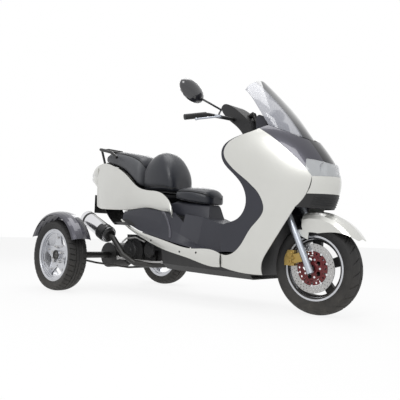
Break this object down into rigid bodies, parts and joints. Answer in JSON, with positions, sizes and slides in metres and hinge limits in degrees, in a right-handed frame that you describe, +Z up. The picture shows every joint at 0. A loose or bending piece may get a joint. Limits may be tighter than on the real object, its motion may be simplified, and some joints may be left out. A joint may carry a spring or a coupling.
{
  "type": "motor trike",
  "caption": "Scooter-bodied motor trike with a fairing, screen, stepped seat, raked fork and two wide-set rear wheels under rounded guards.",
  "frame": {"origin": "middle of the footprint, on the ground", "axes": "+X forward, +Y to the rider's left, +Z up"},
  "size_m": [2.2934, 1.154, 1.342],
  "materials": {
    "silver_paint": "pearl silver-white body paint",
    "gunmetal_paint": "dark gunmetal metallic paint",
    "inner_plastic": "dark grey moulded plastic",
    "black_plastic": "black moulded plastic",
    "seat_vinyl": "black seat vinyl",
    "pillion_vinyl": "grey seat vinyl",
    "frame_steel": "black painted steel",
    "engine_alloy": "cast alloy, dark",
    "bright_steel": "polished silencer can",
    "wheel_alloy": "cast alloy wheel, silver",
    "fork_alloy": "silver fork leg",
    "tyre_rubber": "tyre rubber",
    "grip_rubber": "moulded rubber",
    "disc_steel": "ground brake disc",
    "caliper_gold": "gold anodised caliper",
    "screen_tint": "smoked screen",
    "lamp_clear": "clear lamp lens",
    "mirror_black": "gloss black housing"
  },
  "bodies": {
    "frame": {"axle_beam": "frame_steel", "axle_struts": "frame_steel", "belly_fairing": "black_plastic", "engine_block": "engine_alloy", "exhaust_pipe": "frame_steel", "floor_tunnel": "inner_plastic", "front_cowl": "gunmetal_paint", "front_panel_left": "silver_paint", "front_panel_right": "silver_paint", "gearbox": "engine_alloy", "grab_rail": "frame_steel", "headlamp": "lamp_clear", "inner_fender": "black_plastic", "instrument_cluster": "inner_plastic", "leg_shield": "inner_plastic", "luggage_bin": "black_plastic", "main_frame": "frame_steel", "muffler": "bright_steel", "nose_grille": "black_plastic", "nose_panel": "silver_paint", "rear_fender_left": "gunmetal_paint", "rear_fender_right": "gunmetal_paint", "rear_mudguard": "black_plastic", "rider_seat": "seat_vinyl", "seat_hinge": "frame_steel", "seat_plinth": "inner_plastic", "side_moulding_left": "silver_paint", "side_moulding_right": "silver_paint", "side_panel_left": "silver_paint", "side_panel_right": "silver_paint", "tail_cowl": "silver_paint", "tail_lamp": "lamp_clear", "windshield": "screen_tint"},
    "seat_lid": {"backrest_pad": "seat_vinyl", "pillion_pad": "pillion_vinyl", "seat_pan": "black_plastic"},
    "steering": {"steering_stem": "frame_steel", "fork_legs": "fork_alloy", "front_mudguard": "silver_paint", "brake_caliper": "caliper_gold", "handlebar": "frame_steel", "grips": "grip_rubber", "brake_levers": "fork_alloy", "handlebar_cover": "black_plastic", "mirror_right": "mirror_black", "mirror_left": "mirror_black"},
    "front_wheel": {"front_rim": "wheel_alloy", "brake_disc": "disc_steel", "front_tyre": "tyre_rubber"},
    "rear_wheel_right": {"rear_rim_right": "wheel_alloy", "rear_tyre_right": "tyre_rubber"},
    "rear_wheel_left": {"rear_rim_left": "wheel_alloy", "rear_tyre_left": "tyre_rubber"}
  },
  "joints": [
    {"name": "seat_lid_hinge", "type": "hinge", "parent": "frame", "child": "seat_lid", "pos_m": [-0.121, 0, 0.672], "axis": [0, 1, 0], "range_deg": [0, 45]},
    {"name": "steering_turn", "type": "hinge", "parent": "frame", "child": "steering", "pos_m": [0.86781, 0, 0.23632], "axis": [-0.4226, 0, 0.9063], "range_deg": [-35, 35]},
    {"name": "front_wheel_spin", "type": "hinge", "parent": "steering", "child": "front_wheel", "pos_m": [0.895, 0, 0.249], "axis": [0, 1, 0], "continuous": true},
    {"name": "rear_wheel_right_spin", "type": "hinge", "parent": "frame", "child": "rear_wheel_right", "pos_m": [-0.837, -0.502, 0.243], "axis": [0, 1, 0], "continuous": true},
    {"name": "rear_wheel_left_spin", "type": "hinge", "parent": "frame", "child": "rear_wheel_left", "pos_m": [-0.837, 0.502, 0.243], "axis": [0, 1, 0], "continuous": true}
  ]
}
